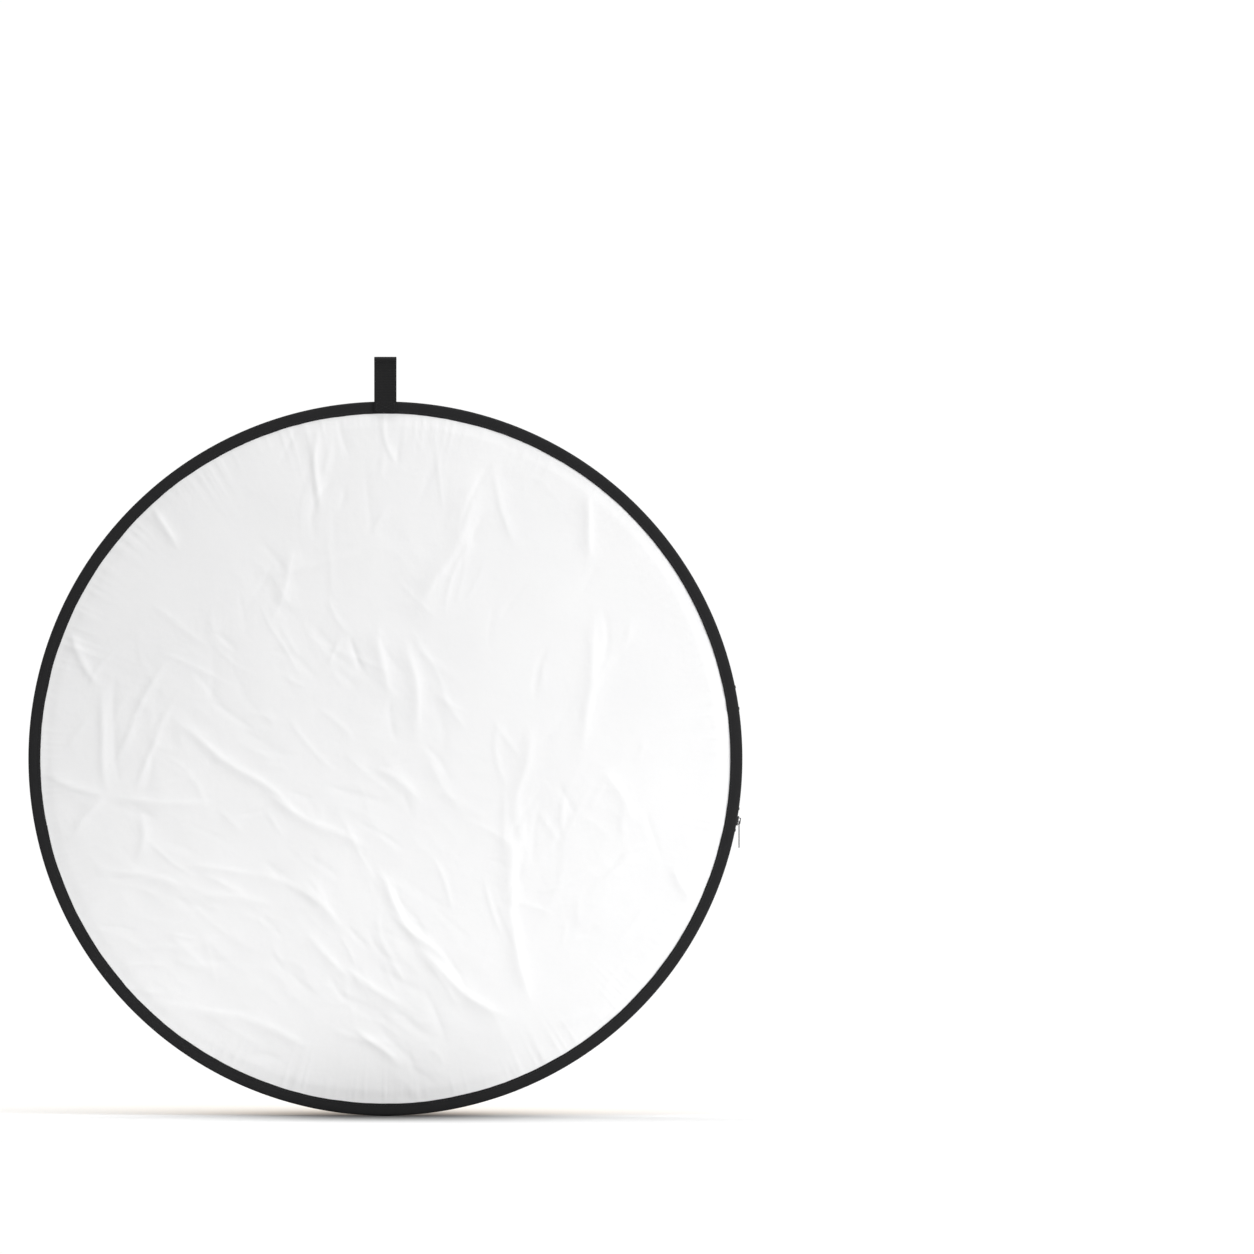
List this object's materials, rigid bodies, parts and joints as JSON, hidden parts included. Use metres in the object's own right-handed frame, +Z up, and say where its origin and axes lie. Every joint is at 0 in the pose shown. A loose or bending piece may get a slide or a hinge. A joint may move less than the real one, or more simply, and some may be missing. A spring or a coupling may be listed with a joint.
{
  "type": "collapsible reflector disc",
  "caption": "Round spring-hoop light reflector: translucent core inside a zip-round reversible cover with white, black, gold and silver faces and a hanging tab.",
  "frame": {"origin": "centre of the eye in the fold at the top of the cover's hanging tab", "axes": "the disc stands upright in the XZ plane: +Z up along the tab, -Y the way the white front face looks, +X along the eye, to the right as seen from the front"},
  "size_m": [0.7999, 0.0182, 0.85],
  "materials": {
    "white_fabric": "satin",
    "black_fabric": "matte",
    "gold_fabric": "metallic, crinkled",
    "silver_fabric": "metallic, crinkled",
    "diffuser_fabric": "translucent satin",
    "binding_tape": "ribbed matte",
    "webbing": "woven matte",
    "black_thread": "matte",
    "zip_tape": "woven matte",
    "zip_nylon": "satin",
    "zip_metal": "satin enamel",
    "spring_steel": "oiled",
    "rivet_metal": "plain"
  },
  "bodies": {
    "front_panel": {"white_cloth": "white_fabric", "black_cloth": "black_fabric", "front_binding": "binding_tape", "front_stitching": "black_thread", "front_zip_tape": "zip_tape", "front_zip_coil": "zip_nylon", "front_zip_stops": "zip_metal", "hinge_gusset": "binding_tape", "cover_tab": "webbing", "cover_tab_stitching": "black_thread"},
    "back_panel": {"gold_cloth": "gold_fabric", "silver_cloth": "silver_fabric", "back_binding": "binding_tape", "back_stitching": "black_thread", "back_zip_tape": "zip_tape", "back_zip_coil": "zip_nylon", "back_zip_stops": "zip_metal"},
    "core": {"diffuser_cloth": "diffuser_fabric", "core_binding": "binding_tape", "core_stitching": "black_thread", "hoop_band": "spring_steel", "hoop_splice_sleeve": "spring_steel", "splice_rivets": "rivet_metal", "core_tab_foot": "webbing"},
    "core_strap": {"core_tab": "webbing", "core_tab_stitching": "black_thread"},
    "slider": {"zip_slider": "zip_metal"},
    "pull": {"zip_pull": "zip_metal"}
  },
  "joints": [
    {"name": "back_open", "type": "hinge", "parent": "front_panel", "child": "back_panel", "pos_m": [0.4, 0.0118, -0.4468], "axis": [0, 0, -1], "range_deg": [0, 150]},
    {"name": "core_swing", "type": "hinge", "parent": "front_panel", "child": "core", "pos_m": [0.3956, 0.0124, -0.4468], "axis": [0, 0, -1], "range_deg": [0, 75]},
    {"name": "core_tab_lift", "type": "hinge", "parent": "core", "child": "core_strap", "pos_m": [0, 0.0035, -0.0652], "axis": [-1, 0, 0], "range_deg": [0, 180]},
    {"name": "slider_travel", "type": "hinge", "parent": "front_panel", "child": "slider", "pos_m": [0, 0.008, -0.4468], "axis": [0, 1, 0], "range_deg": [0, 339.9]},
    {"name": "pull_flip", "type": "hinge", "parent": "slider", "child": "pull", "pos_m": [0.39611, 0.008, -0.51684], "axis": [0, -1, 0], "range_deg": [-8, 155]}
  ],
  "couplings": [
    {"joint": "core_swing", "follows": "back_open", "ratio": 0.5},
    {"joint": "core_tab_lift", "follows": "back_open", "ratio": 1.2}
  ]
}
